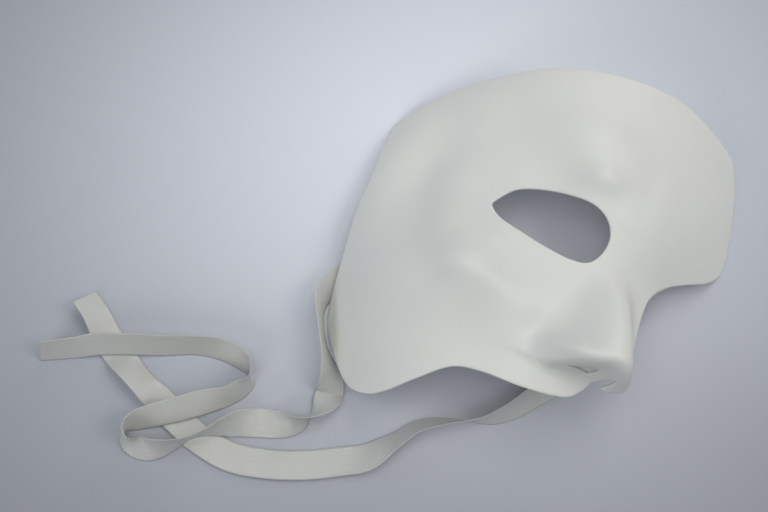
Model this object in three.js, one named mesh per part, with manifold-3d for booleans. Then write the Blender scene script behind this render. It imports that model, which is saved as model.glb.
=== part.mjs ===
// A white half mask that lies face up on its rim, with the two ribbons that tie it on.
// It is a thin moulded shell: forehead, one eye hole, the whole nose and one cheek down to the upper lip.
// Millimetres, +Z up, the surface it lies on is z = 0 and the origin is under the middle of the shell.
import * as THREE from 'three';
import * as BufferGeometryUtils from 'three/addons/utils/BufferGeometryUtils.js';
import Module from 'manifold-3d';

// Shell
const WALL = 1.4;
const GIRTH = 84;            // millimetres of girth, measured round the face, per radian of its curve
const DEPTH = 86;            // how far the covered side curves back
const FAR_DEPTH = 74;        // how far the uncovered side would curve back
const FAR_WIDENING = 7;      // extra half width of the forehead on the uncovered side

// Heights up the face run from the cheek (negative) to the forehead, 0 at the eye.
const HALF_WIDTH = [[-90, 71], [-50, 87], [-10, 94.8], [35, 88.2], [75, 75], [115, 57]];
const FRONT = [[-90, -7], [-62, -3.8], [-40, -1.1], [-12, -4.3], [10, -2], [30, -2.7], [55, -5], [80, -12],
  [115, -37]];

// Nose: how far it stands out, and its half breadth, at each height
const NOSE_HEIGHT = [[-63, 0], [-55.5, 0.8], [-53.5, 5], [-52, 14], [-49.5, 21.5], [-44, 22.3], [-34, 17.4],
  [-22, 10.7], [-8, 0.6], [6, 0], [16, 0]];
const NOSE_BREADTH = [[-64, 14], [-47, 14], [-32, 10.7], [-14, 8.4], [8, 8], [16, 8]];
const WING_DROP = 0.28;      // how much lower the wings hang than the tip, per millimetre outwards
const WING_REACH = 15;
const NOSE_ROUNDING = 2.3;

// Brow, eye socket and softer swellings, all measured round the face and up it
const BROW = { rise: 3.1, up: 30.6, arch: 0.005, middle: 38, breadth: 13.2, end: 56, fade: 6.6 };
const SOCKET = { depth: 9, across: 49, up: 6.5, slant: 0.285, halfWidth: 29, halfHeight: 31.4, edge: 3.55 };
const SWELLINGS = [
  { rise: 7.2, across: 52, up: -33, halfWidth: 13.7, halfHeight: 11 },
  { rise: -3.4, across: 44, up: -60, halfWidth: 26.5, halfHeight: 23 },
  { rise: -7.4, across: 86, up: 2.5, halfWidth: 13, halfHeight: 26.5 },
  { rise: 4.6, across: 15, up: -49.2, halfWidth: 6.3, halfHeight: 3.8 },
  { rise: -4.3, across: 21.7, up: -49, halfWidth: 6.8, halfHeight: 9.3 },
];
// Swellings of the covered side alone: brow, inner brow, lower lid, cheek and jaw
const COVERED_SWELLINGS = [
  { rise: 2.2, across: -23.5, up: 40.5, halfWidth: 20, halfHeight: 8 },
  { rise: 3, across: -20, up: 21, halfWidth: 7.2, halfHeight: 5 },
  { rise: 4.5, across: -42.5, up: -14, halfWidth: 18, halfHeight: 11 },
  { rise: -1.9, across: -76, up: -15, halfWidth: 9, halfHeight: 12 },
  { rise: 1.9, across: -63, up: -50, halfWidth: 24, halfHeight: 17 },
];
const FAR_SOFTNESS = 0.2;    // share of the relief left on the uncovered side

// Cut edges, as points measured round the face and up it
const RIM = [[-115, 20], [-108, 29], [-97, 39], [-85, 47], [-68, 57], [-55, 63], [-40, 67], [-27, 69.5],
  [-13, 71.5], [4, 72.5], [18, 71], [31, 69], [41, 66.5], [45, 58], [47.5, 44], [50, 28], [49, 18.5],
  [42.5, 11], [30, 3], [21, -4], [16.5, -11], [15.5, -20], [15.5, -30], [16, -40], [17.5, -48],
  [15.5, -54], [10, -56], [6.5, -56], [4.5, -58.5], [1, -63], [-6.5, -65.8], [-20, -67.8], [-37, -68.6],
  [-48, -70.8], [-62, -80], [-75, -88.3], [-84, -91.5], [-92, -91.7], [-99.5, -89], [-115, -70],
  [-115.5, -62], [-112, -43], [-109, -22], [-108, -8], [-112, 9]];
const EYE_HOLE = [[-53, -3], [-52.3, -1.4], [-48, 5], [-40.5, 8.7], [-30, 10.7], [-18, 10], [-11.5, 6.5],
  [-8, 1], [-8.2, -6.2], [-12, -12], [-18, -13.7], [-26, -13.1], [-36, -11.3], [-47, -8.3], [-52.2, -4.6]];

// Nostrils, as points across the face and forward of it, cut straight up through the underside
const NEAR_NOSTRIL = [[-11, 3.2], [-8.5, 5], [-6, 8.4], [-4, 11.6], [0, 10.4], [1.2, 5.5], [0.8, 1.2],
  [-4.8, 2]];
const FAR_NOSTRIL = [[5, -6], [5.2, 10], [8, 11.5], [9.2, 8], [10, 3.5], [9.5, -6]];
const NOSTRIL_BOTTOM = -62;
const NOSTRIL_TOP = -46;

// Mesh: spans across and up the face, each with the size of its cells
const COLUMNS = [[-121, -28, 4.9], [-28, 18, 2.3], [18, 55, 4.6]];
const ROWS = [[-96, -62, 4.9], [-62, -45, 1.15], [-45, 16, 3.7], [16, 77, 4.9]];
const SNAP = 0.4;            // share of a cell within which a corner moves onto the cut edge
const OUTLINE_STEPS = 6;

// How the shell lies: the up direction of the table seen from the face, and the flats worn on the rim
const TABLE_UP = new THREE.Vector3(-0.3515, -0.0775, 0.933).normalize();
const FLAT_DEPTH = 0.35;
const TABLE_BLOCK = { width: 400, depth: 20 };

// Ribbons
const RIBBON_WIDTH = 12;
const RIBBON_THICKNESS = 0.4;
const RIBBON_STEPS = 110;
const LOWEST_EDGE = 0.25;     // least height of a ribbon's lower edge
// Each station is the middle of the ribbon in plan, the height of its lower edge, and its lean in degrees:
// 0 lies flat, 90 stands on edge with its left side up, and 180 lies flat with the other face up.
const TEMPLE_RIBBON = [[-65, -8, 10.1, 30], [-65.3, -23, 10.3, 41], [-65, -31, 4, 8], [-67.2, -37, 0.5, -26],
  [-70, -42, 0.3, -34], [-71.9, -46.5, 0.3, -41], [-73, -50.5, 0.3, -52], [-72.7, -54.5, 0.3, -65],
  [-71.2, -58.5, 0.3, -74], [-69, -62.5, 0.3, -78], [-66.4, -67, 0.3, -79], [-63.4, -71.3, 0.3, -76],
  [-59.9, -76, 0.3, -63], [-56.5, -81, 0.3, -40], [-54.2, -86.5, 0.3, -4], [-53.8, -92, 0.3, 38],
  [-55.3, -96.5, 0.3, 68], [-57.8, -100.2, 0.3, 94], [-61.8, -104, 0.3, 132], [-68, -107.2, 0.3, 163],
  [-75, -109.8, 0.3, 176], [-82, -113, 0.7, 154], [-87.3, -116.8, 1.6, 125], [-92, -121.5, 2.4, 104],
  [-98, -127, 2.4, 96], [-104.5, -133, 1.5, 116], [-111.8, -137.8, 0.3, 141], [-117, -138.7, 0.3, 138],
  [-120.8, -137.4, 0.3, 119], [-122.7, -134.7, 0.3, 91], [-122.2, -131.4, 0.3, 66],
  [-119.4, -128.2, 0.6, 48], [-113.5, -123.4, 1.7, 40], [-107, -118.2, 2.4, 37],
  [-99.5, -111.8, 1.6, 36], [-91, -105, 0.3, 52], [-87, -99, 0.3, 59], [-86, -94, 0.3, 87],
  [-91, -90, 0.3, 126], [-101, -89, 0.3, 135], [-112, -92, 0.3, 127], [-125, -98, 1, 130],
  [-137, -103, 2.4, 132], [-148, -108, 2.4, 133], [-156, -113, 0.6, 130], [-168, -120, 0.3, 124]];
const BROW_RIBBON = [[65.8, 38.4, 3.6, 148], [63.2, 31, 7, 151], [57, 18, 10.5, 160], [46, 5, 9, 166],
  [46, -9, 4, 178], [40, -26, 0.3, 178], [33, -39, 0.3, 171], [26, -50, 0.3, 147], [18, -62, 0.3, 130],
  [11, -69, 0.3, 114], [4, -73, 0.3, 92], [-8, -79, 0.3, 73], [-16, -85, 0.3, 66], [-22, -94, 0.3, 58],
  [-29, -104, 0.3, 27], [-38, -110, 0.3, 12], [-50, -117, 0.3, 8], [-64, -123, 0.3, 8],
  [-79, -126.8, 0.3, 5], [-92, -126, 0.3, 4], [-104, -123, 0.3, 4], [-114, -119, 0.3, 6],
  [-124, -115, 0.3, 35], [-133, -111, 0.3, 30], [-142, -107, 0.3, 4], [-149, -102, 0.3, 20],
  [-155, -97, 0.3, 33], [-162.3, -92.6, 0.3, 37]];

// A smooth curve through knots, each a place and its value
function curveThrough(knots) {
  const count = knots.length;
  const bend = new Array(count).fill(0);
  const diagonal = new Array(count).fill(1);
  const target = new Array(count).fill(0);
  const gap = (i) => knots[i + 1][0] - knots[i][0];
  const slope = (i) => (knots[i + 1][1] - knots[i][1]) / gap(i);
  for (let i = 1; i < count - 1; i += 1) {
    const carry = i > 1 ? gap(i - 1) / diagonal[i - 1] : 0;
    diagonal[i] = 2 * (gap(i - 1) + gap(i)) - carry * gap(i - 1);
    target[i] = 6 * (slope(i) - slope(i - 1)) - carry * target[i - 1];
  }
  for (let i = count - 2; i > 0; i -= 1) {
    bend[i] = (target[i] - gap(i) * bend[i + 1]) / diagonal[i];
  }
  return (place) => {
    const at = Math.min(Math.max(place, knots[0][0]), knots[count - 1][0]);
    let i = 0;
    while (i < count - 2 && at > knots[i + 1][0]) i += 1;
    const before = at - knots[i][0];
    const after = knots[i + 1][0] - at;
    const h = gap(i);
    return (bend[i] * after ** 3 + bend[i + 1] * before ** 3) / (6 * h)
      + (knots[i][1] / h - (bend[i] * h) / 6) * after
      + (knots[i + 1][1] / h - (bend[i + 1] * h) / 6) * before;
  };
}

const halfWidthAt = curveThrough(HALF_WIDTH);
const frontAt = curveThrough(FRONT);
const noseHeightAt = curveThrough(NOSE_HEIGHT);
const noseBreadthAt = curveThrough(NOSE_BREADTH);

function swelling(shape, across, up) {
  const sideways = (across - shape.across) / shape.halfWidth;
  const upwards = (up - shape.up) / shape.halfHeight;
  return shape.rise * Math.exp(-(sideways ** 2 + upwards ** 2));
}

// How far brow, socket and cheek stand out from the plain curve of the face
function relief(across, up) {
  const side = Math.sqrt(across * across + 4);
  const crest = BROW.up - BROW.arch * (side - BROW.middle) ** 2;
  const browEnd = 1 + Math.exp((side - BROW.end) / BROW.fade);
  const browMiddle = 1 - 0.7 * Math.exp(-((across / 12) ** 2));
  let rise = (BROW.rise * Math.exp(-(((up - crest) / BROW.breadth) ** 2)) * browMiddle) / browEnd;
  const sideways = (side - SOCKET.across) / SOCKET.halfWidth;
  const upwards = (up - SOCKET.up - SOCKET.slant * (side - SOCKET.across)) / SOCKET.halfHeight;
  const bowl = Math.exp(-(Math.hypot(sideways, upwards) ** SOCKET.edge));
  rise -= SOCKET.depth * bowl * (1 - Math.exp(-((across / 13) ** 2)));
  for (const shape of SWELLINGS) rise += swelling(shape, side, up);
  for (const shape of COVERED_SWELLINGS) rise += swelling(shape, across, up);
  return across > 0 ? rise * (FAR_SOFTNESS + (1 - FAR_SOFTNESS) * Math.exp(-((across / 9) ** 2))) : rise;
}

function noseAt(across, x, up) {
  const reach = Math.min(Math.abs(across), WING_REACH);
  const level = up + WING_DROP * (Math.sqrt(reach * reach + 9) - 3);
  const height = Math.max(noseHeightAt(level), 0);
  return height * Math.exp(-Math.LN2 * (Math.abs(x) / noseBreadthAt(level)) ** NOSE_ROUNDING);
}

// The outer skin, in the frame of the face: x across, y up, z forward
function skin(across, up) {
  const turn = across / GIRTH;
  const widening = across > 0 ? FAR_WIDENING : 0;
  const depth = across > 0 ? FAR_DEPTH : DEPTH;
  const x = (halfWidthAt(up) + widening) * Math.sin(turn);
  const z = frontAt(up) - depth * (1 - Math.cos(turn));
  const rise = relief(across, up);
  return new THREE.Vector3(x + rise * Math.sin(turn), up, z + rise * Math.cos(turn) + noseAt(across, x, up));
}

function skinNormal(across, up) {
  const reach = 0.3;
  const sideways = skin(across + reach, up).sub(skin(across - reach, up));
  const upwards = skin(across, up + reach).sub(skin(across, up - reach));
  return sideways.cross(upwards).normalize();
}

function closedOutline(points) {
  const curve = new THREE.CatmullRomCurve3(points.map(([a, b]) => new THREE.Vector3(a, b, 0)), true);
  return curve.getPoints(points.length * OUTLINE_STEPS).slice(0, -1).map((p) => [p.x, p.y]);
}

// Distance to an outline, positive inside it, with the nearest point on it
function toOutline(outline, across, up) {
  let nearest = Infinity;
  let point = [across, up];
  let inside = false;
  for (let i = 0; i < outline.length; i += 1) {
    const [ax, ay] = outline[i];
    const [bx, by] = outline[(i + 1) % outline.length];
    const along = ((across - ax) * (bx - ax) + (up - ay) * (by - ay)) / ((bx - ax) ** 2 + (by - ay) ** 2);
    const t = Math.min(Math.max(along, 0), 1);
    const distance = Math.hypot(across - ax - t * (bx - ax), up - ay - t * (by - ay));
    if (distance < nearest) {
      nearest = distance;
      point = [ax + t * (bx - ax), ay + t * (by - ay)];
    }
    if (ay > up !== by > up && across < ax + ((up - ay) * (bx - ax)) / (by - ay)) inside = !inside;
  }
  return { distance: inside ? nearest : -nearest, point };
}

const rim = closedOutline(RIM);
const eyeHole = closedOutline(EYE_HOLE);

// Distance to the nearest cut edge, positive on the material
function toEdge(across, up) {
  const outer = toOutline(rim, across, up);
  const hole = toOutline(eyeHole, across, up);
  return outer.distance < -hole.distance ? outer : { distance: -hole.distance, point: hole.point };
}

function cellLines(spans) {
  const lines = [spans[0][0]];
  for (const [from, to, size] of spans) {
    const count = Math.round((to - from) / size);
    for (let i = 1; i <= count; i += 1) lines.push(from + ((to - from) * i) / count);
  }
  return lines;
}

// A flat triangle mesh over the face, trimmed to the cut edges
function trimmedSheet() {
  const columns = cellLines(COLUMNS);
  const rows = cellLines(ROWS);
  const corners = [];
  rows.forEach((up, j) => columns.forEach((across, i) => {
    const edge = toEdge(across, up);
    const width = columns[Math.min(i + 1, columns.length - 1)] - columns[Math.max(i - 1, 0)];
    const height = rows[Math.min(j + 1, rows.length - 1)] - rows[Math.max(j - 1, 0)];
    const [px, py] = edge.point;
    const reach = Math.hypot((px - across) / width, (py - up) / height) * 2;
    const snaps = reach < SNAP;
    corners.push({ at: snaps ? edge.point : [across, up], distance: snaps ? 0 : edge.distance });
  }));
  const cuts = new Map();
  const cutBetween = (a, b) => {
    const key = a < b ? `${a},${b}` : `${b},${a}`;
    if (!cuts.has(key)) {
      const [from, to] = corners[a].distance > 0 ? [a, b] : [b, a];
      let low = 0;
      let high = 1;
      const between = (t) => [0, 1].map((k) => corners[from].at[k] * (1 - t) + corners[to].at[k] * t);
      for (let step = 0; step < 12; step += 1) {
        const middle = (low + high) / 2;
        if (toEdge(...between(middle)).distance > 0) low = middle;
        else high = middle;
      }
      corners.push({ at: toEdge(...between(low)).point, distance: 0 });
      cuts.set(key, corners.length - 1);
    }
    return cuts.get(key);
  };
  const triangles = [];
  const keep = (ring) => {
    for (let i = 1; i < ring.length - 1; i += 1) triangles.push([ring[0], ring[i], ring[i + 1]]);
  };
  const trim = (triangle) => {
    const ring = [];
    triangle.forEach((corner, i) => {
      const next = triangle[(i + 1) % 3];
      if (corners[corner].distance >= 0) ring.push(corner);
      if (corners[corner].distance * corners[next].distance < 0) ring.push(cutBetween(corner, next));
    });
    const middle = [0, 1].map((k) => triangle.reduce((sum, c) => sum + corners[c].at[k], 0) / 3);
    const onEdge = triangle.every((c) => corners[c].distance === 0);
    const hasInside = triangle.some((c) => corners[c].distance > 0);
    if (ring.length > 2 && (hasInside || (onEdge && toEdge(...middle).distance > 0.05))) keep(ring);
  };
  for (let j = 0; j < rows.length - 1; j += 1) {
    for (let i = 0; i < columns.length - 1; i += 1) {
      const a = j * columns.length + i;
      const [b, c, d] = [a + 1, a + columns.length + 1, a + columns.length];
      if ((i + j) % 2) {
        trim([a, b, c]);
        trim([a, c, d]);
      } else {
        trim([a, b, d]);
        trim([b, c, d]);
      }
    }
  }
  return { points: corners.map((corner) => corner.at), triangles };
}

// Two skins a wall apart, joined by the cut edge
function shellGeometry() {
  const { points, triangles } = trimmedSheet();
  const count = points.length;
  const positions = new Float32Array(count * 6);
  points.forEach(([across, up], i) => {
    const outer = skin(across, up);
    const inner = outer.clone().addScaledVector(skinNormal(across, up), -WALL);
    outer.toArray(positions, i * 3);
    inner.toArray(positions, (count + i) * 3);
  });
  const indices = [];
  const openEdges = new Set();
  for (const [a, b, c] of triangles) {
    indices.push(a, b, c, count + a, count + c, count + b);
    for (const [from, to] of [[a, b], [b, c], [c, a]]) {
      if (!openEdges.delete(`${to},${from}`)) openEdges.add(`${from},${to}`);
    }
  }
  for (const edge of openEdges) {
    const [a, b] = edge.split(',').map(Number);
    indices.push(a, count + a, count + b, a, count + b, b);
  }
  const geometry = new THREE.BufferGeometry();
  geometry.setAttribute('position', new THREE.BufferAttribute(positions, 3));
  geometry.setIndex(indices);
  return geometry;
}

const wasm = await Module();
wasm.setup();

function toSolid(geometry) {
  const plain = geometry.clone();
  plain.deleteAttribute('normal');
  plain.deleteAttribute('uv');
  const merged = BufferGeometryUtils.mergeVertices(plain, 1e-4);
  return new wasm.Manifold(new wasm.Mesh({
    numProp: 3,
    vertProperties: new Float32Array(merged.attributes.position.array),
    triVerts: new Uint32Array(merged.index.array),
  }));
}

function toGeometry(solid) {
  const { vertProperties, triVerts } = solid.getMesh();
  const geometry = new THREE.BufferGeometry();
  geometry.setAttribute('position', new THREE.BufferAttribute(new Float32Array(vertProperties), 3));
  geometry.setIndex(new THREE.BufferAttribute(new Uint32Array(triVerts), 1));
  geometry.computeVertexNormals();
  return geometry;
}

// A prism standing up the face, its section given across the face and forward of it
function nostrilCutter(outline) {
  const section = new THREE.Shape(outline.map(([x, z]) => new THREE.Vector2(x, -z)));
  const depth = NOSTRIL_TOP - NOSTRIL_BOTTOM;
  const prism = new THREE.ExtrudeGeometry(section, { depth, bevelEnabled: false });
  prism.rotateX(-Math.PI / 2);
  prism.translate(0, NOSTRIL_BOTTOM, 0);
  return prism;
}

// Turns the frame of the face so that the table is level and the shell rests on it
function layDown(geometry) {
  const upFace = new THREE.Vector3(0, 1, 0).addScaledVector(TABLE_UP, -TABLE_UP.y).normalize();
  const sideways = new THREE.Vector3().crossVectors(upFace, TABLE_UP);
  geometry.applyMatrix4(new THREE.Matrix4().makeBasis(sideways, upFace, TABLE_UP).transpose());
  geometry.computeBoundingBox();
  const { min, max } = geometry.boundingBox;
  geometry.translate(-(min.x + max.x) / 2, -(min.y + max.y) / 2, -min.z - FLAT_DEPTH);
}

function maskGeometry() {
  let solid = toSolid(shellGeometry());
  for (const outline of [NEAR_NOSTRIL, FAR_NOSTRIL]) solid = solid.subtract(toSolid(nostrilCutter(outline)));
  const lying = toGeometry(solid);
  layDown(lying);
  const below = new THREE.BoxGeometry(TABLE_BLOCK.width, TABLE_BLOCK.width, TABLE_BLOCK.depth);
  below.translate(0, 0, -TABLE_BLOCK.depth / 2);
  return toGeometry(toSolid(lying).subtract(toSolid(below)));
}

// A station's four numbers at any place along a ribbon, smoothly joined
function stationAt(stations, place) {
  const last = stations.length - 1;
  const i = Math.min(Math.floor(place), last - 1);
  const t = place - i;
  const before = stations[Math.max(i - 1, 0)];
  const after = stations[Math.min(i + 2, last)];
  return stations[i].map((from, k) => {
    const to = stations[i + 1][k];
    const leave = (to - before[k]) / 2;
    const arrive = (after[k] - from) / 2;
    return (2 * t ** 3 - 3 * t ** 2 + 1) * from + (t ** 3 - 2 * t ** 2 + t) * leave
      + (3 * t ** 2 - 2 * t ** 3) * to + (t ** 3 - t ** 2) * arrive;
  });
}

// A ribbon's section has four sides, and the third is its upper face
const UPPER_FACE = 2;

function ribbonGeometry(stations) {
  const up = new THREE.Vector3(0, 0, 1);
  const middles = [];
  const leans = [];
  for (let step = 0; step <= RIBBON_STEPS; step += 1) {
    const [x, y, lift, lean] = stationAt(stations, (step * (stations.length - 1)) / RIBBON_STEPS);
    const angle = THREE.MathUtils.degToRad(lean);
    const rise = (RIBBON_WIDTH / 2) * Math.abs(Math.sin(angle));
    middles.push(new THREE.Vector3(x, y, Math.max(lift, LOWEST_EDGE) + rise));
    leans.push(angle);
  }
  const corners = [];
  middles.forEach((middle, i) => {
    const ahead = middles[Math.min(i + 1, RIBBON_STEPS)].clone().sub(middles[Math.max(i - 1, 0)]).normalize();
    const left = new THREE.Vector3().crossVectors(up, ahead).normalize();
    const across = left.multiplyScalar(Math.cos(leans[i])).addScaledVector(up, Math.sin(leans[i]));
    across.addScaledVector(ahead, -across.dot(ahead)).normalize();
    const face = new THREE.Vector3().crossVectors(ahead, across);
    for (const [sideways, outwards] of [[-1, -1], [1, -1], [1, 1], [-1, 1]]) {
      const corner = middle.clone().addScaledVector(across, (sideways * RIBBON_WIDTH) / 2);
      corners.push(corner.addScaledVector(face, (outwards * RIBBON_THICKNESS) / 2));
    }
  });
  const indices = [0, 2, 1, 0, 3, 2];
  for (let i = 0; i < RIBBON_STEPS; i += 1) {
    for (let side = 0; side < 4; side += 1) {
      const a = i * 4 + side;
      const b = i * 4 + ((side + 1) % 4);
      // The two faces are split along the same diagonal, so the ribbon keeps its thickness where it twists
      if (side === UPPER_FACE) indices.push(a, b, a + 4, b, b + 4, a + 4);
      else indices.push(a, b, b + 4, a, b + 4, a + 4);
    }
  }
  const end = RIBBON_STEPS * 4;
  indices.push(end, end + 1, end + 2, end, end + 2, end + 3);
  const geometry = new THREE.BufferGeometry();
  geometry.setAttribute('position', new THREE.Float32BufferAttribute(corners.flatMap((c) => c.toArray()), 3));
  geometry.setIndex(indices);
  geometry.computeVertexNormals();
  return geometry;
}

function namedMesh(name, geometry, color, roughness) {
  const mesh = new THREE.Mesh(geometry, new THREE.MeshStandardMaterial({ color, roughness, metalness: 0 }));
  mesh.name = name;
  return mesh;
}

const mask = new THREE.Group();
mask.add(namedMesh('mask_shell', maskGeometry(), 0xd9dcd4, 0.6));
mask.add(namedMesh('ribbon_temple', ribbonGeometry(TEMPLE_RIBBON), 0xdcdcd6, 0.4));
mask.add(namedMesh('ribbon_brow', ribbonGeometry(BROW_RIBBON), 0xdcdcd6, 0.4));

export default mask;
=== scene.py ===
"""A white half mask that lies face up on its rim, with the two satin ribbons that tie it on."""
import math

import bpy
import numpy as np
from mathutils import Matrix, Vector, noise


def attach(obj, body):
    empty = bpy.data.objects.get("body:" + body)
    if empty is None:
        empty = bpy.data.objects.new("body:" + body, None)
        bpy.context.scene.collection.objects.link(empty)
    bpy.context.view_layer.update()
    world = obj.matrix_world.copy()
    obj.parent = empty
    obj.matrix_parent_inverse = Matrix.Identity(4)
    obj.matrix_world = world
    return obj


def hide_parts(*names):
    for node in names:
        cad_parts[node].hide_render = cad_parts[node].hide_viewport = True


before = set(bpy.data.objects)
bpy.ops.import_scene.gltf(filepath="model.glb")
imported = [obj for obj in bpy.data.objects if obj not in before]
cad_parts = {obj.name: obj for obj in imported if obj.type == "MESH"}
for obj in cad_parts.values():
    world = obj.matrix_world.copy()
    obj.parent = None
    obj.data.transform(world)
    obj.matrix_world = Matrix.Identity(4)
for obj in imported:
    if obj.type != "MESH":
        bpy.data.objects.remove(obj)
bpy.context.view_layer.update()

# Lengths are millimetres until a mesh is made
METRE = 0.001
# Keeps a vector of no length from being divided by zero
SHORTEST = 1e-9

# Form of the face, as in the construction
GIRTH = 84.0
DEPTH = 86.0
FAR_DEPTH = 74.0
FAR_WIDENING = 7.0
WALL = 1.4
HALF_WIDTH = [(-90, 71), (-50, 87), (-10, 94.8), (35, 88.2), (75, 75), (115, 57)]
FRONT = [
    (-90, -7), (-62, -3.8), (-40, -1.1), (-12, -4.3), (10, -2), (30, -2.7),
    (55, -5), (80, -12), (115, -37),
]
NOSE_HEIGHT = [
    (-63, 0), (-55.5, 0.8), (-53.5, 5), (-52, 14), (-49.5, 21.5), (-44, 22.3), (-34, 17.4),
    (-22, 10.7), (-8, 0.6), (6, 0), (16, 0),
]
NOSE_BREADTH = [(-64, 14), (-47, 14), (-32, 10.7), (-14, 8.4), (8, 8), (16, 8)]
WING_DROP = 0.28
WING_REACH = 15.0
WING_ROUNDING = 3.0
NOSE_ROUNDING = 2.3
BROW = {"rise": 3.1, "up": 30.6, "arch": 0.005, "middle": 38, "breadth": 13.2, "end": 56, "fade": 6.6}
SOCKET = {
    "depth": 9, "across": 49, "up": 6.5, "slant": 0.285,
    "half_width": 29, "half_height": 31.4, "edge": 3.55,
}
# Near the middle of the face: rounding of the fold, loss of the brow, and the reach of each fade
MIDDLE_ROUNDING = 2.0
BROW_LOSS = 0.7
BROW_LOSS_REACH = 12.0
SOCKET_FADE_REACH = 13.0
# Rise, place across, place up, half width and half height of each swelling
CHEEKBONE = (7.2, 52, -33, 13.7, 11)
CHEEK_HOLLOW = (-3.4, 44, -60, 26.5, 23)
TEMPLE_HOLLOW = (-7.4, 86, 2.5, 13, 26.5)
NOSE_WING = (4.6, 15, -49.2, 6.3, 3.8)
WING_GROOVE = (-4.3, 21.7, -49, 6.8, 9.3)
# Swellings of the covered side alone
BROW_KNOT = (2.2, -23.5, 40.5, 20, 8)
INNER_BROW = (3, -20, 21, 7.2, 5)
LOWER_LID = (4.5, -42.5, -14, 18, 11)
CHEEK_DIP = (-1.9, -76, -15, 9, 12)
JAW = (1.9, -63, -50, 24, 17)
# Share of the relief left on the uncovered side, and the reach of the change
FAR_SOFTNESS = 0.2
FAR_SOFTENING_REACH = 9.0

# Cut edges of the shell
RIM = [
    (-115, 20), (-108, 29), (-97, 39), (-85, 47), (-68, 57), (-55, 63), (-40, 67), (-27, 69.5),
    (-13, 71.5), (4, 72.5), (18, 71), (31, 69), (41, 66.5), (45, 58), (47.5, 44), (50, 28), (49, 18.5),
    (42.5, 11), (30, 3), (21, -4), (16.5, -11), (15.5, -20), (15.5, -30), (16, -40), (17.5, -48),
    (15.5, -54), (10, -56), (6.5, -56), (4.5, -58.5), (1, -63), (-6.5, -65.8), (-20, -67.8), (-37, -68.6),
    (-48, -70.8), (-62, -80), (-75, -88.3), (-84, -91.5), (-92, -91.7), (-99.5, -89), (-115, -70),
    (-115.5, -62), (-112, -43), (-109, -22), (-108, -8), (-112, 9),
]
EYE_HOLE = [
    (-53, -3), (-52.3, -1.4), (-48, 5), (-40.5, 8.7), (-30, 10.7), (-18, 10), (-11.5, 6.5),
    (-8, 1), (-8.2, -6.2), (-12, -12), (-18, -13.7), (-26, -13.1), (-36, -11.3), (-47, -8.3),
    (-52.2, -4.6),
]
# Nostrils as seen from below, and the part of the face they are cut in
NEAR_NOSTRIL = [
    (-11, 3.2), (-8.5, 5), (-6, 8.4), (-4, 11.6), (0, 10.4), (1.2, 5.5), (0.8, 1.2), (-4.8, 2),
]
FAR_NOSTRIL = [(5, -6), (5.2, 10), (8, 11.5), (9.2, 8), (10, 3.5), (9.5, -6)]
NOSTRIL_TOP = -46.0
NOSTRIL_REACH = 20.0

# The table's upward direction in the frame of the face, and how deep the rim is levelled off
TABLE_UP = Vector((-0.3515, -0.0775, 0.933)).normalized()
FLAT_DEPTH = 0.35

# Ribbons, as in the construction: middle in plan, height of the lower edge, and lean in degrees
RIBBON_WIDTH = 12.0
TEMPLE_RIBBON = [
    (-65, -8, 10.1, 30), (-65.3, -23, 10.3, 41), (-65, -31, 4, 8), (-67.2, -37, 0.5, -26),
    (-70, -42, 0.3, -34), (-71.9, -46.5, 0.3, -41), (-73, -50.5, 0.3, -52), (-72.7, -54.5, 0.3, -65),
    (-71.2, -58.5, 0.3, -74), (-69, -62.5, 0.3, -78), (-66.4, -67, 0.3, -79), (-63.4, -71.3, 0.3, -76),
    (-59.9, -76, 0.3, -63), (-56.5, -81, 0.3, -40), (-54.2, -86.5, 0.3, -4), (-53.8, -92, 0.3, 38),
    (-55.3, -96.5, 0.3, 68), (-57.8, -100.2, 0.3, 94), (-61.8, -104, 0.3, 132), (-68, -107.2, 0.3, 163),
    (-75, -109.8, 0.3, 176), (-82, -113, 0.7, 154), (-87.3, -116.8, 1.6, 125), (-92, -121.5, 2.4, 104),
    (-98, -127, 2.4, 96), (-104.5, -133, 1.5, 116), (-111.8, -137.8, 0.3, 141), (-117, -138.7, 0.3, 138),
    (-120.8, -137.4, 0.3, 119), (-122.7, -134.7, 0.3, 91), (-122.2, -131.4, 0.3, 66),
    (-119.4, -128.2, 0.6, 48), (-113.5, -123.4, 1.7, 40), (-107, -118.2, 2.4, 37),
    (-99.5, -111.8, 1.6, 36), (-91, -105, 0.3, 52), (-87, -99, 0.3, 59), (-86, -94, 0.3, 87),
    (-91, -90, 0.3, 126), (-101, -89, 0.3, 135), (-112, -92, 0.3, 127), (-125, -98, 1, 130),
    (-137, -103, 2.4, 132), (-148, -108, 2.4, 133), (-156, -113, 0.6, 130), (-168, -120, 0.3, 124),
]
BROW_RIBBON = [
    (65.8, 38.4, 3.6, 148), (63.2, 31, 7, 151), (57, 18, 10.5, 160), (46, 5, 9, 166),
    (46, -9, 4, 178), (40, -26, 0.3, 178), (33, -39, 0.3, 171), (26, -50, 0.3, 147), (18, -62, 0.3, 130),
    (11, -69, 0.3, 114), (4, -73, 0.3, 92), (-8, -79, 0.3, 73), (-16, -85, 0.3, 66), (-22, -94, 0.3, 58),
    (-29, -104, 0.3, 27), (-38, -110, 0.3, 12), (-50, -117, 0.3, 8), (-64, -123, 0.3, 8),
    (-79, -126.8, 0.3, 5), (-92, -126, 0.3, 4), (-104, -123, 0.3, 4), (-114, -119, 0.3, 6),
    (-124, -115, 0.3, 35), (-133, -111, 0.3, 30), (-142, -107, 0.3, 4), (-149, -102, 0.3, 20),
    (-155, -97, 0.3, 33), (-162.3, -92.6, 0.3, 37),
]

# Fine mesh of the shell: spans across and up the face, each with the size of its cells
COLUMNS = [(-121, -28, 1.15), (-28, 18, 0.5), (18, 55, 1.15)]
ROWS = [(-96, -57, 1.15), (-57, -47.5, 0.16), (-47.5, 16, 0.95), (16, 77, 1.15)]
OUTLINE_STEPS = 12
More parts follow.
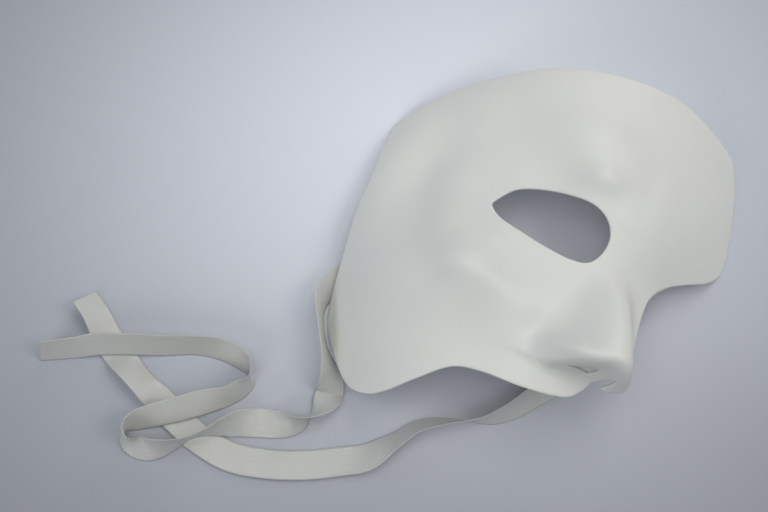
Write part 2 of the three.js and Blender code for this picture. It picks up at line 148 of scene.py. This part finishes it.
# A mesh point nearer to the cut than this share of an edge is moved onto it
SNAP = 0.27
# Halvings that find where an edge is cut, and how far inside a triangle on the cut has to lie
HALVINGS = 12
CLEARLY_INSIDE = 0.02
# Bulge and facets of the rounded edge between the two skins
RIM_BULGE = 0.45
RIM_FACETS = 4
# Waves of the moulded skin, and the finer waves as shares of them
UNEVENNESS = 0.12
UNEVENNESS_SIZE = 16.0
FINE_UNEVENNESS = 0.3
FINE_SIZE = 0.35


# Camera

CAMERA_AT = Vector((-40.76, -104.74, 444.68))
CAMERA_TARGET = Vector((-57.13, -25.01, 0.0))
CAMERA_ROLL = 24.566
FOCAL_LENGTH = 50.0
SENSOR_WIDTH = 36.0


def add_camera():
    data = bpy.data.cameras.new("camera")
    data.lens = FOCAL_LENGTH
    data.sensor_width = SENSOR_WIDTH
    camera = bpy.data.objects.new("camera", data)
    bpy.context.scene.collection.objects.link(camera)
    back = (CAMERA_AT - CAMERA_TARGET).normalized()
    side = Vector((0, 1, 0)).cross(back).normalized()
    level = Matrix((side, back.cross(side), back)).transposed()
    turn = level @ Matrix.Rotation(math.radians(CAMERA_ROLL), 3, "Z")
    camera.matrix_world = Matrix.Translation(CAMERA_AT * METRE) @ turn.to_4x4()
    bpy.context.scene.camera = camera


# Smooth curves

def curve_through(knots):
    """A natural cubic curve through knots, each a place and its value."""
    x = np.array([k[0] for k in knots], float)
    y = np.array([k[1] for k in knots], float)
    h = np.diff(x)
    slope = np.diff(y) / h
    count = len(x)
    system = np.eye(count)
    target = np.zeros(count)
    for i in range(1, count - 1):
        system[i, i - 1:i + 2] = h[i - 1], 2 * (h[i - 1] + h[i]), h[i]
        target[i] = 6 * (slope[i] - slope[i - 1])
    bend = np.linalg.solve(system, target)

    def value(place):
        at = np.clip(place, x[0], x[-1])
        i = np.clip(np.searchsorted(x, at, side="left") - 1, 0, count - 2)
        before = at - x[i]
        after = x[i + 1] - at
        curved = (bend[i] * after ** 3 + bend[i + 1] * before ** 3) / (6 * h[i])
        return (curved + (y[i] / h[i] - bend[i] * h[i] / 6) * after
                + (y[i + 1] / h[i] - bend[i + 1] * h[i] / 6) * before)

    return value


def cubic(start, leave, end, arrive, t):
    """A place on the cubic between two points, with its slope at each of them."""
    return ((2 * t ** 3 - 3 * t ** 2 + 1) * start + (t ** 3 - 2 * t ** 2 + t) * leave
            + (3 * t ** 2 - 2 * t ** 3) * end + (t ** 3 - t ** 2) * arrive)


def closed_outline(points):
    """A closed centripetal curve through the points, as a polygon."""
    points = np.array(points, float)
    count = len(points)
    outline = []
    for i in range(count):
        p0, p1, p2, p3 = (points[(i + k) % count] for k in (-1, 0, 1, 2))
        d1, d2, d3 = (math.sqrt(np.linalg.norm(b - a)) for a, b in ((p0, p1), (p1, p2), (p2, p3)))
        leave = ((p1 - p0) / d1 - (p2 - p0) / (d1 + d2) + (p2 - p1) / d2) * d2
        arrive = ((p2 - p1) / d2 - (p3 - p1) / (d2 + d3) + (p3 - p2) / d3) * d2
        outline += [cubic(p1, leave, p2, arrive, step / OUTLINE_STEPS) for step in range(OUTLINE_STEPS)]
    return np.array(outline)


def inside_distance(outline, points):
    """Distance from each point to the outline, positive inside it."""
    nearest = np.full(len(points), np.inf)
    inside = np.zeros(len(points), bool)
    for a, b in zip(outline, np.roll(outline, -1, axis=0)):
        edge = b - a
        t = np.clip((points - a) @ edge / (edge @ edge), 0, 1)
        nearest = np.minimum(nearest, np.hypot(*(points - a - t[:, None] * edge).T))
        if a[1] != b[1]:
            spans = (a[1] > points[:, 1]) != (b[1] > points[:, 1])
            inside ^= spans & (points[:, 0] < a[0] + (points[:, 1] - a[1]) * edge[0] / edge[1])
    return np.where(inside, nearest, -nearest)


half_width_at = curve_through(HALF_WIDTH)
front_at = curve_through(FRONT)
nose_height_at = curve_through(NOSE_HEIGHT)
nose_breadth_at = curve_through(NOSE_BREADTH)


# Form of the face: across is measured round it, up along it; x across, y up, z forward

def bell(distance, reach):
    """One at no distance, falling off smoothly."""
    return np.exp(-((distance / reach) ** 2))


def swelling(shape, across, up):
    rise, at_across, at_up, half_width, half_height = shape
    return rise * bell(across - at_across, half_width) * bell(up - at_up, half_height)


def brow_rise(across, side, up):
    crest = BROW["up"] - BROW["arch"] * (side - BROW["middle"]) ** 2
    rise = BROW["rise"] * bell(up - crest, BROW["breadth"])
    outer_end = 1 + np.exp((side - BROW["end"]) / BROW["fade"])
    return rise * (1 - BROW_LOSS * bell(across, BROW_LOSS_REACH)) / outer_end


def socket_depth(across, side, up):
    sideways = (side - SOCKET["across"]) / SOCKET["half_width"]
    upwards = (up - SOCKET["up"] - SOCKET["slant"] * (side - SOCKET["across"])) / SOCKET["half_height"]
    bowl = np.exp(-(np.hypot(sideways, upwards) ** SOCKET["edge"]))
    return SOCKET["depth"] * bowl * (1 - bell(across, SOCKET_FADE_REACH))


def relief(across, up):
    """How far the skin stands out of the plain curve of the face."""
    side = np.sqrt(across * across + MIDDLE_ROUNDING ** 2)
    rise = brow_rise(across, side, up) - socket_depth(across, side, up)
    for shape in (CHEEKBONE, CHEEK_HOLLOW, TEMPLE_HOLLOW, NOSE_WING, WING_GROOVE):
        rise = rise + swelling(shape, side, up)
    for shape in (BROW_KNOT, INNER_BROW, LOWER_LID, CHEEK_DIP, JAW):
        rise = rise + swelling(shape, across, up)
    softened = FAR_SOFTNESS + (1 - FAR_SOFTNESS) * bell(across, FAR_SOFTENING_REACH)
    return np.where(across > 0, rise * softened, rise)


def nose(across, x, up):
    """Height of the nose above the face; its wings reach lower than its ridge."""
    reach = np.minimum(np.abs(across), WING_REACH)
    level = up + WING_DROP * (np.sqrt(reach * reach + WING_ROUNDING ** 2) - WING_ROUNDING)
    height = np.maximum(nose_height_at(level), 0)
    return height * np.exp(-math.log(2) * (np.abs(x) / nose_breadth_at(level)) ** NOSE_ROUNDING)


def skin(across, up):
    """Points of the outer skin."""
    turn = across / GIRTH
    x = (half_width_at(up) + np.where(across > 0, FAR_WIDENING, 0)) * np.sin(turn)
    z = front_at(up) - np.where(across > 0, FAR_DEPTH, DEPTH) * (1 - np.cos(turn))
    rise = relief(across, up)
    forward = z + rise * np.cos(turn) + nose(across, x, up)
    return np.stack([x + rise * np.sin(turn), up + 0 * x, forward], -1)


def unit(vectors):
    return vectors / np.maximum(np.linalg.norm(vectors, axis=-1, keepdims=True), SHORTEST)


def skin_normal(across, up, reach=0.1):
    sideways = skin(across + reach, up) - skin(across - reach, up)
    upwards = skin(across, up + reach) - skin(across, up - reach)
    return unit(np.cross(sideways, upwards))


rim_outline = closed_outline(RIM)
eye_outline = closed_outline(EYE_HOLE)
near_nostril = np.array(NEAR_NOSTRIL, float)
far_nostril = np.array(FAR_NOSTRIL, float)


def material_level(points):
    """Positive where the shell has material, zero on its cut edges."""
    level = inside_distance(rim_outline, points) - RIM_BULGE
    level = np.minimum(level, -inside_distance(eye_outline, points) - RIM_BULGE)
    low = np.where((points[:, 1] < NOSTRIL_TOP) & (np.abs(points[:, 0]) < NOSTRIL_REACH))[0]
    if len(low):
        seen = skin(points[low, 0], points[low, 1])[:, [0, 2]]
        holes = np.minimum(-inside_distance(near_nostril, seen), -inside_distance(far_nostril, seen))
        level[low] = np.minimum(level[low], holes)
    return level


# Shell mesh

def cell_lines(spans):
    lines = [spans[0][0]]
    for start, end, size in spans:
        count = round((end - start) / size)
        lines += [start + (end - start) * i / count for i in range(1, count + 1)]
    return np.array(lines, float)


def crossings(points, inner, outer):
    """Where the cut edge crosses each line from an inner to an outer point."""
    low = np.zeros(len(inner))
    high = np.ones(len(inner))
    for _ in range(HALVINGS):
        middle = (low + high) / 2
        at = points[inner] + (points[outer] - points[inner]) * middle[:, None]
        within = material_level(at) > 0
        low = np.where(within, middle, low)
        high = np.where(within, high, middle)
    return low


def cell_grid():
    """Points over the whole face, and the triangles between them."""
    columns = cell_lines(COLUMNS)
    rows = cell_lines(ROWS)
    across, up = np.meshgrid(columns, rows)
    width = len(columns)
    corner = (np.arange(len(rows) - 1)[:, None] * width + np.arange(width - 1)).ravel()
    triangles = np.concatenate([
        np.stack([corner, corner + 1, corner + width + 1], -1),
        np.stack([corner, corner + width + 1, corner + width], -1),
    ])
    return np.stack([across.ravel(), up.ravel()], -1), triangles


def triangle_sides(triangles):
    return np.concatenate([triangles[:, [0, 1]], triangles[:, [1, 2]], triangles[:, [2, 0]]])


def crossed_sides(triangles, level):
    """The inner and the outer end of every side that the cut edge crosses."""
    sides = np.unique(np.sort(triangle_sides(triangles), axis=1), axis=0)
    crossed = sides[level[sides[:, 0]] * level[sides[:, 1]] < 0]
    first_inside = level[crossed[:, 0]] > 0
    inner = np.where(first_inside, crossed[:, 0], crossed[:, 1])
    outer = np.where(first_inside, crossed[:, 1], crossed[:, 0])
    return inner, outer


def snap_to_cut(points, level, inner, outer):
    """Moves the points nearest to the cut edge onto it."""
    share = crossings(points, inner, outer)
    at = points[inner] + (points[outer] - points[inner]) * share[:, None]
    nearest = {}
    for i in range(len(share)):
        for vertex, reach in ((inner[i], share[i]), (outer[i], 1 - share[i])):
            if reach < SNAP and reach < nearest.get(vertex, (1, 0))[0]:
                nearest[vertex] = (reach, i)
    for vertex, (_, i) in nearest.items():
        points[vertex] = at[i]
        level[vertex] = 0


def cut_triangle(triangle, level, cut):
    """What a triangle keeps inside the cut edge, as triangles."""
    ring = []
    for i, a in enumerate(triangle):
        b = triangle[(i + 1) % 3]
        if level[a] >= 0:
            ring.append(a)
        if level[a] * level[b] < 0:
            ring.append(cut[(a, b)] if level[a] > 0 else cut[(b, a)])
    return [[ring[0], ring[i], ring[i + 1]] for i in range(1, len(ring) - 1)]


def trimmed_sheet():
    """A flat triangle mesh over the face, trimmed to the cut edges."""
    points, triangles = cell_grid()
    level = material_level(points)
    inner, outer = crossed_sides(triangles, level)
    snap_to_cut(points, level, inner, outer)
    still = (level[inner] > 0) & (level[outer] < 0)
    inner, outer = inner[still], outer[still]
    share = crossings(points, inner, outer)
    at = points[inner] + (points[outer] - points[inner]) * share[:, None]
    cut = {(a, b): len(points) + i for i, (a, b) in enumerate(zip(inner.tolist(), outer.tolist()))}
    points = np.concatenate([points, at])
    sign = np.sign(level)[triangles]
    whole = (sign >= 0).all(1) & (sign > 0).any(1)
    kept = triangles[whole].tolist()
    for triangle in triangles[(sign > 0).any(1) & (sign < 0).any(1)].tolist():
        kept += cut_triangle(triangle, level, cut)
    flat = triangles[(sign == 0).all(1)]
    if len(flat):
        kept += flat[material_level(points[flat].mean(1)) > CLEARLY_INSIDE].tolist()
    used, kept = np.unique(np.array(kept), return_inverse=True)
    return points[used], kept.reshape(-1, 3)


def open_edges(triangles):
    """The edges with a triangle on one side only, in that triangle's direction."""
    known = set(map(tuple, triangle_sides(triangles).tolist()))
    return np.array([edge for edge in known if edge[::-1] not in known])


def waves(points, height, size):
    return height * np.array([noise.noise(Vector(point / size)) for point in points])


def unevenness(points):
    """The slight waviness of a moulded skin."""
    coarse = waves(points, UNEVENNESS, UNEVENNESS_SIZE)
    fine = waves(points, FINE_UNEVENNESS * UNEVENNESS, FINE_SIZE * UNEVENNESS_SIZE)
    return coarse + fine


def shell_mesh():
    """Two skins a wall apart with a rounded edge between them, in the frame of the face."""
    sheet, triangles = trimmed_sheet()
    across, up = sheet.T
    outer = skin(across, up)
    normal = skin_normal(across, up)
    outer = outer + normal * unevenness(outer)[:, None]
    inner = outer - normal * WALL
    count = len(outer)
    edges = open_edges(triangles)
    starts, ends = edges.T
    sideways = np.cross(outer[ends] - outer[starts], (normal[starts] + normal[ends]) / 2)
    outward = np.zeros_like(outer)
    for vertices in (starts, ends):
        np.add.at(outward, vertices, unit(sideways))
    outward = unit(outward)
    rim = np.unique(edges)
    place = {vertex: i for i, vertex in enumerate(rim.tolist())}
    middle = (outer[rim] + inner[rim]) / 2
    rings = []
    for k in range(1, RIM_FACETS):
        angle = math.pi * k / RIM_FACETS
        through_wall = normal[rim] * WALL / 2 * math.cos(angle)
        rings.append(middle + through_wall + outward[rim] * RIM_BULGE * math.sin(angle))

    def ring_vertex(k, vertex):
        if k == 0:
            return vertex
        if k == RIM_FACETS:
            return count + vertex
        return 2 * count + (k - 1) * len(rim) + place[vertex]

    faces = triangles.tolist() + (triangles[:, ::-1] + count).tolist()
    for a, b in edges.tolist():
        for k in range(RIM_FACETS):
            corners = ((k, a), (k + 1, a), (k + 1, b), (k, b))
            faces.append([ring_vertex(*corner) for corner in corners])
    return np.concatenate([outer, inner] + rings), faces


def lay_down(points):
    """Turns the frame of the face so that the table is level and the shell rests on it."""
    up_face = (Vector((0, 1, 0)) - TABLE_UP * TABLE_UP.y).normalized()
    sideways = up_face.cross(TABLE_UP)
    lying = points @ np.array([sideways, up_face, TABLE_UP]).T
    low, high = lying.min(0), lying.max(0)
    lying -= np.array([(low[0] + high[0]) / 2, (low[1] + high[1]) / 2, low[2] + FLAT_DEPTH])
    lying[:, 2] = np.maximum(lying[:, 2], 0)
    return lying


def add_mesh(name, points, faces):
    mesh = bpy.data.meshes.new(name)
    mesh.from_pydata((np.asarray(points) * METRE).tolist(), [], faces)
    mesh.validate()
    mesh.shade_smooth()
    piece = bpy.data.objects.new(name, mesh)
    bpy.context.scene.collection.objects.link(piece)
    return piece


def add_shell():
    points, faces = shell_mesh()
    piece = add_mesh("mask_skin", lay_down(points), faces)
    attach(piece, "root")
    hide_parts("mask_shell")
    return piece


# Ribbons

# Steps along a ribbon, and how many of them lie between two points of its route
RIBBON_STEPS = 1440
# Least height of a ribbon's lower edge, and of any of its points
LOWEST_EDGE = 0.25
FLOOR_CLEARANCE = 0.02
# Cells across a ribbon, narrower towards its edges by a power below one
RIBBON_ACROSS = 12
EDGE_CROWDING = 0.8
RIBBON_HALF_THICKNESS = 0.14
SELVEDGE_HALF_THICKNESS = 0.2
EDGE_HALF_THICKNESS = 0.06
SELVEDGE_WIDTH = 0.7
# Picots: the small loops along both edges
PICOT_PITCH = 1.0
PICOT_DEPTH = 0.14
PICOT_SWELL = 1.3
# Length over which a ribbon's far end turns into its slanted cut
END_REACH = 14.0


def station_at(stations, place):
    """A station's four numbers at any place along a ribbon, smoothly joined."""
    last = len(stations) - 1
    i = min(int(place), last - 1)
    before, start, end, after = (stations[min(max(i + k, 0), last)] for k in (-1, 0, 1, 2))
    return cubic(start, (end - before) / 2, end, (after - start) / 2, place - i)


def ribbon_frame(stations):
    """The ribbon's middle at each step, and its directions ahead, across and out of its face."""
    stations = np.array(stations, float)
    places = np.linspace(0, len(stations) - 1, RIBBON_STEPS + 1)
    x, y, lift, lean = np.array([station_at(stations, place) for place in places]).T
    lean = np.radians(lean)
    height = np.maximum(lift, LOWEST_EDGE) + RIBBON_WIDTH / 2 * np.abs(np.sin(lean))
    middle = np.stack([x, y, height], -1)
    ahead = unit(np.gradient(middle, axis=0))
    up = np.array([0.0, 0.0, 1.0])
    left = unit(np.cross(up, ahead))
    across = left * np.cos(lean)[:, None] + up * np.sin(lean)[:, None]
    across = unit(across - ahead * (across * ahead).sum(1)[:, None])
    return middle, ahead, across, np.cross(ahead, across)


def ribbon_sides():
    """Places across a ribbon, from minus one at one edge to one at the other."""
    side = np.linspace(-1, 1, RIBBON_ACROSS + 1)
    return np.sign(side) * np.abs(side) ** EDGE_CROWDING


def ribbon_points(middle, ahead, across, face, along, slant):
    """For each step, the points of the upper side and then those of the under side."""
    side = ribbon_sides()
    from_edge = RIBBON_WIDTH / 2 * (1 - np.abs(side))
    thickness = np.where(from_edge < SELVEDGE_WIDTH, SELVEDGE_HALF_THICKNESS, RIBBON_HALF_THICKNESS)
    thickness[[0, -1]] = EDGE_HALF_THICKNESS
    near_end = np.clip(1 - (along[-1] - along) / END_REACH, 0, 1)
    picot = (1 + np.cos(2 * np.pi * along / PICOT_PITCH)) / 2
    rows = []
    for outwards in (1, -1):
        for i in range(len(side)):
            edge = i in (0, len(side) - 1)
            reach = side[i] * (RIBBON_WIDTH / 2 - PICOT_DEPTH * (1 - picot) * edge)
            swell = thickness[i] * (1 + PICOT_SWELL * picot * edge)
            point = middle + across * reach[:, None] + face * (outwards * swell)[:, None]
            point = point + ahead * (slant * side[i] * RIBBON_WIDTH / 2 * near_end)[:, None]
            rows.append(point)
    points = np.stack(rows, 1)
    points[..., 2] = np.maximum(points[..., 2], FLOOR_CLEARANCE)
    return points.reshape(-1, 3)


def ribbon_faces():
    """The faces round a ribbon and across its ends, and which of them are dressed as its upper side."""
    count = RIBBON_ACROSS + 1
    size = 2 * count
    ring = list(range(count)) + list(range(size - 1, count - 1, -1))
    faces = []
    tops = []
    for step in range(RIBBON_STEPS):
        here = step * size
        ahead = here + size
        for k in range(size):
            a, b = ring[k], ring[(k + 1) % size]
            faces.append([ahead + a, ahead + b, here + b, here + a])
            tops.append(k < count - 1)
    faces.append(ring)
    faces.append([RIBBON_STEPS * size + k for k in ring[::-1]])
    tops += [True, True]
    return faces, tops


def add_weave(piece, along):
    """Coordinates of the weave: millimetres along the ribbon and across it."""
    side = ribbon_sides()
    where_across = np.tile(np.concatenate([side, side]), RIBBON_STEPS + 1) * RIBBON_WIDTH / 2
    where_along = np.repeat(along, 2 * len(side))
    corner_vertex = np.empty(len(piece.data.loops), int)
    piece.data.loops.foreach_get("vertex_index", corner_vertex)
    coordinates = np.stack([where_along[corner_vertex], where_across[corner_vertex]], -1)
    layer = piece.data.uv_layers.new(name="weave")
    layer.data.foreach_set("uv", coordinates.ravel())


def add_ribbon(name, stations, node, slant):
    """A ribbon along its stations; slant is how steeply its far end is cut."""
    middle, ahead, across, face = ribbon_frame(stations)
    along = np.concatenate([[0], np.cumsum(np.linalg.norm(np.diff(middle, axis=0), axis=1))])
    faces, tops = ribbon_faces()
    piece = add_mesh(name, ribbon_points(middle, ahead, across, face, along, slant), faces)
    add_weave(piece, along)
    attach(piece, "root")
    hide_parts(node)
    return piece, tops


# Materials

SHELL_COOL = (0.71, 0.713, 0.66, 1)
SHELL_WARM = (0.745, 0.733, 0.675, 1)
PIT_COLOUR = (0.42, 0.42, 0.38, 1)
# Both ribbon colours are the ribbons' own off-white, darkened with painted shade for the dimmer light
# where the ribbons lie
SATIN_COLOUR_AND_PAINTED_SHADE = (0.57, 0.565, 0.52, 1)
MATTE_COLOUR_AND_PAINTED_SHADE = (0.61, 0.605, 0.56, 1)
PICOT_COLOUR = (0.86, 0.87, 0.84, 1)
# Pitches of the threads in millimetres, and how far from the middle the selvedge starts and is full
WARP_PITCH = 0.22
WEFT_PITCH = 0.35
SELVEDGE_START = 5.35
SELVEDGE_FULL = 5.65
# Slubs: how they are drawn out along the ribbon, and the shade of the darkest
SLUB_STRETCH = (0.08, 2.2, 1.0)
SLUB_SHADE = 0.93
SELVEDGE_SHADE = 0.86
# Sockets of a colour mix that hold its share, its two colours and its result
MIX_SHARE = 0
MIX_FIRST = 6
MIX_SECOND = 7
MIX_RESULT = 2


class Nodes:
    """Adds shader nodes to a material, and joins them by their inputs."""

    def __init__(self, name):
        self.material = bpy.data.materials.new(name)
        self.material.use_nodes = True
        self.tree = self.material.node_tree
        self.shader = self.tree.nodes["Principled BSDF"]

    def add(self, kind, inputs=None, **settings):
        node = self.tree.nodes.new(kind)
        for key, value in settings.items():
            setattr(node, key, value)
        for key, value in (inputs or {}).items():
            self.join(node, key, value)
        return node

    def join(self, node, key, value):
        if isinstance(value, bpy.types.NodeSocket):
            self.tree.links.new(value, node.inputs[key])
        else:
            node.inputs[key].default_value = value

    def math(self, operation, first, second=0.0):
        return self.add("ShaderNodeMath", {0: first, 1: second}, operation=operation).outputs[0]

    def wave(self, place, pitch):
        """A sine wave with the given pitch."""
        return self.math("SINE", self.math("MULTIPLY", place, 2 * math.pi / pitch))

    def ramp(self, value, start, end, low=0.0, high=1.0):
        inputs = {"Value": value, "From Min": start, "From Max": end, "To Min": low, "To Max": high}
        return self.add("ShaderNodeMapRange", inputs).outputs["Result"]

    def noise(self, where, scale, detail):
        inputs = {"Vector": where, "Scale": scale, "Detail": detail}
        return self.add("ShaderNodeTexNoise", inputs).outputs["Fac"]

    def mix(self, share, first, second):
        inputs = {MIX_SHARE: share, MIX_FIRST: first, MIX_SECOND: second}
        return self.add("ShaderNodeMix", inputs, data_type="RGBA").outputs[MIX_RESULT]

    def bump(self, height, distance, strength=1.0, under=None):
        inputs = {"Height": height, "Distance": distance, "Strength": strength}
        if under is not None:
            inputs["Normal"] = under
        return self.add("ShaderNodeBump", inputs).outputs["Normal"]


def shell_material():
    """Satin moulded white skin with soft orange peel, a few pits and faint warm and cool areas."""
    n = Nodes("mask_skin")
    where = n.add("ShaderNodeTexCoord").outputs["Object"]
    tint = n.ramp(n.noise(where, scale=14.0, detail=3.0), start=0.35, end=0.65)
    colour = n.mix(tint, SHELL_COOL, SHELL_WARM)
    pits = n.add("ShaderNodeTexVoronoi", {"Vector": where, "Scale": 55.0, "Randomness": 1.0})
    chosen = n.ramp(n.noise(where, scale=30.0, detail=1.0), start=0.60, end=0.66)
    pit = n.math("MULTIPLY", n.ramp(pits.outputs["Distance"], start=0.03, end=0.012), chosen)
    colour = n.mix(n.math("MULTIPLY", pit, 0.35), colour, PIT_COLOUR)
    n.join(n.shader, "Base Color", colour)
    sheen = n.ramp(n.noise(where, scale=60.0, detail=4.0), start=0.3, end=0.7, low=0.42, high=0.52)
    n.join(n.shader, "Roughness", sheen)
    n.shader.inputs["Specular IOR Level"].default_value = 0.45
    peel = n.bump(n.noise(where, scale=900.0, detail=2.0), distance=0.00003, strength=0.5)
    soft = n.bump(n.noise(where, scale=160.0, detail=2.0), distance=0.0001, strength=0.6, under=peel)
    n.join(n.shader, "Normal", n.bump(pit, distance=0.0004, strength=0.7, under=soft))
    return n.material


def darker(colour, share):
    return tuple(share * part for part in colour[:3]) + (1,)


def ribbon_material(name, colour, roughness, anisotropy):
    """Woven satin: fine warp lines along it, and a raised selvedge with pale picots on each edge."""
    n = Nodes(name)
    where = n.add("ShaderNodeUVMap", uv_map="weave").outputs["UV"]
    parts = n.add("ShaderNodeSeparateXYZ", {"Vector": where})
    along, across = parts.outputs["X"], parts.outputs["Y"]
    warp = n.wave(across, WARP_PITCH)
    weft = n.wave(along, WEFT_PITCH)
    edge = n.ramp(n.math("ABSOLUTE", across), SELVEDGE_START, SELVEDGE_FULL)
    picot = n.ramp(n.wave(along, PICOT_PITCH), start=-0.2, end=0.8)
    picot = n.math("MULTIPLY", picot, edge)
    drawn = n.add("ShaderNodeVectorMath", {0: where, 1: SLUB_STRETCH}, operation="MULTIPLY").outputs[0]
    slub = n.noise(drawn, scale=1.0, detail=3.0)
    shade = n.mix(n.ramp(slub, start=0.3, end=0.7), colour, darker(colour, SLUB_SHADE))
    shade = n.mix(n.math("MULTIPLY", edge, 0.35), shade, darker(colour, SELVEDGE_SHADE))
    shade = n.mix(n.math("MULTIPLY", picot, 0.7), shade, PICOT_COLOUR)
    n.join(n.shader, "Base Color", shade)
    n.join(n.shader, "Roughness", n.math("ADD", n.math("MULTIPLY", edge, 0.2), roughness))
    n.shader.inputs["Anisotropic"].default_value = anisotropy
    n.shader.inputs["Specular IOR Level"].default_value = 0.9
    weave = n.math("ADD", warp, n.math("MULTIPLY", weft, 0.5))
    threads = n.bump(weave, distance=0.00002, strength=0.5)
    creases = n.bump(slub, distance=0.0001, strength=0.4, under=threads)
    n.join(n.shader, "Normal", n.bump(picot, distance=0.00025, strength=0.8, under=creases))
    return n.material


def dress_ribbon(piece, tops, upper, under):
    """The two sides of a ribbon differ: one is glossy satin and the other its duller back."""
    piece.data.materials.append(upper)
    piece.data.materials.append(under)
    piece.data.polygons.foreach_set("material_index", [0 if top else 1 for top in tops])


# Floor, in metres and radians: the middle, turn and reach of its painted pool of light, and its colours:
# painted light near the mask and painted shade away from it

PAINTED_LIGHT_MIDDLE = (-0.053, 0.031, 0.0)
PAINTED_LIGHT_TURN = 0.566
PAINTED_LIGHT_REACH = (0.18, 0.145, 1.0)
# Painted light on the board near the mask, and painted shade far from it
FLOOR_PAINTED_LIGHT = (0.80, 0.82, 0.875, 1)
FLOOR_PAINTED_SHADE = (0.24, 0.245, 0.27, 1)
FLOOR_CLOUD = (0.60, 0.62, 0.68, 1)
FLOOR_HALF_WIDTH = 4.0
FLOOR_DROP = 0.0001


def floor_material():
    """Pale, faintly blue board with a painted pool of light round the mask, and painted shade that
    darkens it softly away from the mask.
    """
    n = Nodes("floor")
    where = n.add("ShaderNodeTexCoord").outputs["Object"]
    inputs = {"Vector": where, "Location": PAINTED_LIGHT_MIDDLE, "Rotation": (0, 0, PAINTED_LIGHT_TURN)}
    painted_light_place = n.add("ShaderNodeMapping", inputs, vector_type="TEXTURE").outputs["Vector"]
    painted_light_place = n.add("ShaderNodeVectorMath", {0: painted_light_place, 1: PAINTED_LIGHT_REACH}, operation="DIVIDE").outputs[0]
    distance = n.add("ShaderNodeVectorMath", {0: painted_light_place}, operation="LENGTH").outputs["Value"]
    # Painted light and shade: one at the middle of the painted pool of light, falling off away from it
    fade = n.math("POWER", math.e, n.math("MULTIPLY", n.math("MULTIPLY", distance, distance), -1.0))
    colour = n.mix(fade, FLOOR_PAINTED_SHADE, FLOOR_PAINTED_LIGHT)
    cloud = n.ramp(n.noise(where, scale=7.0, detail=3.0), start=0.3, end=0.7, low=0.0, high=0.06)
    n.join(n.shader, "Base Color", n.mix(cloud, colour, FLOOR_CLOUD))
    n.shader.inputs["Roughness"].default_value = 0.8
    n.shader.inputs["Specular IOR Level"].default_value = 0.15
    grain = n.bump(n.noise(where, scale=700.0, detail=3.0), distance=0.00004, strength=0.4)
    n.join(n.shader, "Normal", grain)
    return n.material


def add_floor():
    size = FLOOR_HALF_WIDTH
    corners = [(-size, -size, 0), (size, -size, 0), (size, size, 0), (-size, size, 0)]
    mesh = bpy.data.meshes.new("floor")
    mesh.from_pydata(corners, [], [(0, 1, 2, 3)])
    floor = bpy.data.objects.new("floor", mesh)
    floor.location.z = -FLOOR_DROP
    bpy.context.scene.collection.objects.link(floor)
    mesh.materials.append(floor_material())


# Lights: azimuth and elevation in degrees, distance and size in metres, watts, and colour

LIGHTS = {
    "right": (22, 50, 1.0, 0.5, 2.75, (1.0, 0.98, 0.94)),
    "top": (95, 66, 1.0, 0.45, 1.8, (1.0, 0.985, 0.95)),
    "left": (205, 76, 1.0, 0.45, 1.75, (1.0, 0.985, 0.95)),
    "low_back": (85, 22, 1.2, 0.55, 2.2, (1.0, 0.99, 0.97)),
    "low_left": (185, 24, 1.2, 0.55, 1.8, (0.80, 0.89, 1.0)),
    "low_front": (250, 26, 1.2, 0.55, 2.7, (1.0, 0.99, 0.96)),
}
SKY_COLOUR = (0.64, 0.78, 1.0, 1)
SKY_STRENGTH = 0.22


def add_light(name, azimuth, elevation, distance, size, power, colour):
    """A square soft box that looks at the mask from the given direction."""
    data = bpy.data.lights.new(name, "AREA")
    data.size = size
    data.energy = power
    data.color = colour
    light = bpy.data.objects.new(name, data)
    level = math.cos(math.radians(elevation))
    away = Vector((
        level * math.cos(math.radians(azimuth)),
        level * math.sin(math.radians(azimuth)),
        math.sin(math.radians(elevation)),
    ))
    light.location = away * distance
    light.rotation_euler = away.to_track_quat("Z", "Y").to_euler()
    bpy.context.scene.collection.objects.link(light)


def add_lights():
    for name, settings in LIGHTS.items():
        add_light(name, *settings)
    world = bpy.data.worlds.new("world")
    world.use_nodes = True
    background = world.node_tree.nodes["Background"]
    background.inputs["Color"].default_value = SKY_COLOUR
    background.inputs["Strength"].default_value = SKY_STRENGTH
    bpy.context.scene.world = world
    bpy.context.scene.view_settings.view_transform = "Standard"


# The whole scene

add_camera()
satin = ribbon_material("ribbon_satin", SATIN_COLOUR_AND_PAINTED_SHADE, roughness=0.26, anisotropy=0.5)
matte = ribbon_material("ribbon_back", MATTE_COLOUR_AND_PAINTED_SHADE, roughness=0.55, anisotropy=0.2)
temple, temple_tops = add_ribbon("ribbon_temple_satin", TEMPLE_RIBBON, "ribbon_temple", slant=-0.25)
brow, brow_tops = add_ribbon("ribbon_brow_satin", BROW_RIBBON, "ribbon_brow", slant=0.0)
dress_ribbon(temple, temple_tops, upper=matte, under=satin)
dress_ribbon(brow, brow_tops, upper=satin, under=matte)
shell = add_shell()
shell.data.materials.append(shell_material())
add_floor()
add_lights()
